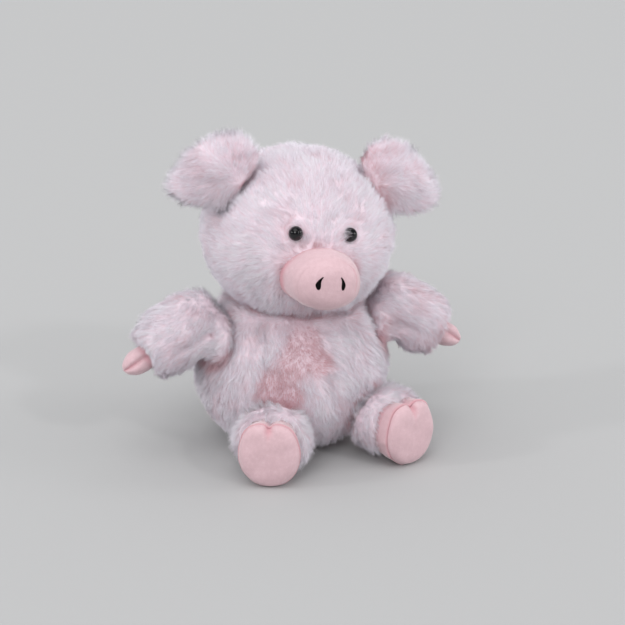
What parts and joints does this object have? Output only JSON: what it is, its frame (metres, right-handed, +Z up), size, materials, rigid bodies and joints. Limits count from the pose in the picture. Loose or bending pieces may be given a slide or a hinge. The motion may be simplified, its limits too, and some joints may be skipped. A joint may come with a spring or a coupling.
{
  "type": "plush pig",
  "caption": "Sitting plush pig with a fur body, folded ears, a domed velour snout and cleft velour hooves.",
  "frame": {"origin": "on the flat seat, under the body's centre, on the plane that the pig sits on", "axes": "+Z up, the pig faces -Y, its own left side is +X"},
  "size_m": [0.2494, 0.1888, 0.226],
  "materials": {
    "fur": "long matted pale pink fur",
    "velour": "short-pile pink velour",
    "stuffing": "white fibre filling",
    "pellet_cloth": "off-white woven bag of pellets",
    "bead": "gloss black",
    "washer": "plain moulded plastic",
    "thread": "black satin stitch"
  },
  "bodies": {
    "torso": {"body_cover": "fur", "body_stuffing": "stuffing", "pellet_bag": "pellet_cloth"},
    "head": {"head_cover": "fur", "head_stuffing": "stuffing", "snout_band": "velour", "snout_face": "velour", "snout_stuffing": "stuffing", "nostril_left": "thread", "nostril_right": "thread", "eye_left": "bead", "eye_right": "bead", "eye_washer_left": "washer", "eye_washer_right": "washer"},
    "ear_left": {"ear_left": "fur"},
    "ear_right": {"ear_right": "fur"},
    "arm_left": {"arm_left_cover": "fur", "arm_left_stuffing": "stuffing", "hand_hoof_left": "velour"},
    "arm_right": {"arm_right_cover": "fur", "arm_right_stuffing": "stuffing", "hand_hoof_right": "velour"},
    "leg_left": {"leg_left_cover": "fur", "leg_left_stuffing": "stuffing", "foot_band_left": "velour", "foot_sole_left": "velour"},
    "leg_right": {"leg_right_cover": "fur", "leg_right_stuffing": "stuffing", "foot_band_right": "velour", "foot_sole_right": "velour"},
    "tail": {"tail": "velour"}
  },
  "joints": [
    {"name": "head_turn", "type": "hinge", "parent": "torso", "child": "head", "pos_m": [-0.0016, 0, 0.091], "axis": [0.1045, 0, 0.9945], "range_deg": [-20, 20], "stiffness_Nm_per_rad": 0.05},
    {"name": "ear_left_fold", "type": "hinge", "parent": "head", "child": "ear_left", "pos_m": [0.05712, -0.01671, 0.18136], "axis": [0.4872, -0.1221, -0.8647], "range_deg": [-15, 15], "stiffness_Nm_per_rad": 0.01},
    {"name": "ear_right_fold", "type": "hinge", "parent": "head", "child": "ear_right", "pos_m": [-0.04128, -0.01327, 0.1917], "axis": [0.6634, 0.0819, 0.7437], "range_deg": [-15, 15], "stiffness_Nm_per_rad": 0.01},
    {"name": "arm_left_lower", "type": "hinge", "parent": "torso", "child": "arm_left", "pos_m": [0.056, -0.003, 0.0755], "axis": [0, 1, 0], "range_deg": [0, 20], "stiffness_Nm_per_rad": 0.02},
    {"name": "arm_right_lower", "type": "hinge", "parent": "torso", "child": "arm_right", "pos_m": [-0.056, -0.003, 0.0755], "axis": [0, -1, 0], "range_deg": [0, 20], "stiffness_Nm_per_rad": 0.02},
    {"name": "leg_left_spread", "type": "hinge", "parent": "torso", "child": "leg_left", "pos_m": [0.04, -0.034, 0.02575], "axis": [0, 0, 1], "range_deg": [0, 20], "stiffness_Nm_per_rad": 0.02},
    {"name": "leg_right_spread", "type": "hinge", "parent": "torso", "child": "leg_right", "pos_m": [-0.024, -0.0415, 0.02575], "axis": [0, 0, -1], "range_deg": [0, 20], "stiffness_Nm_per_rad": 0.02},
    {"name": "tail_swing", "type": "hinge", "parent": "torso", "child": "tail", "pos_m": [-0.00007, 0.06547, 0.04014], "axis": [0, 0, 1], "range_deg": [-20, 20], "stiffness_Nm_per_rad": 0.004}
  ]
}
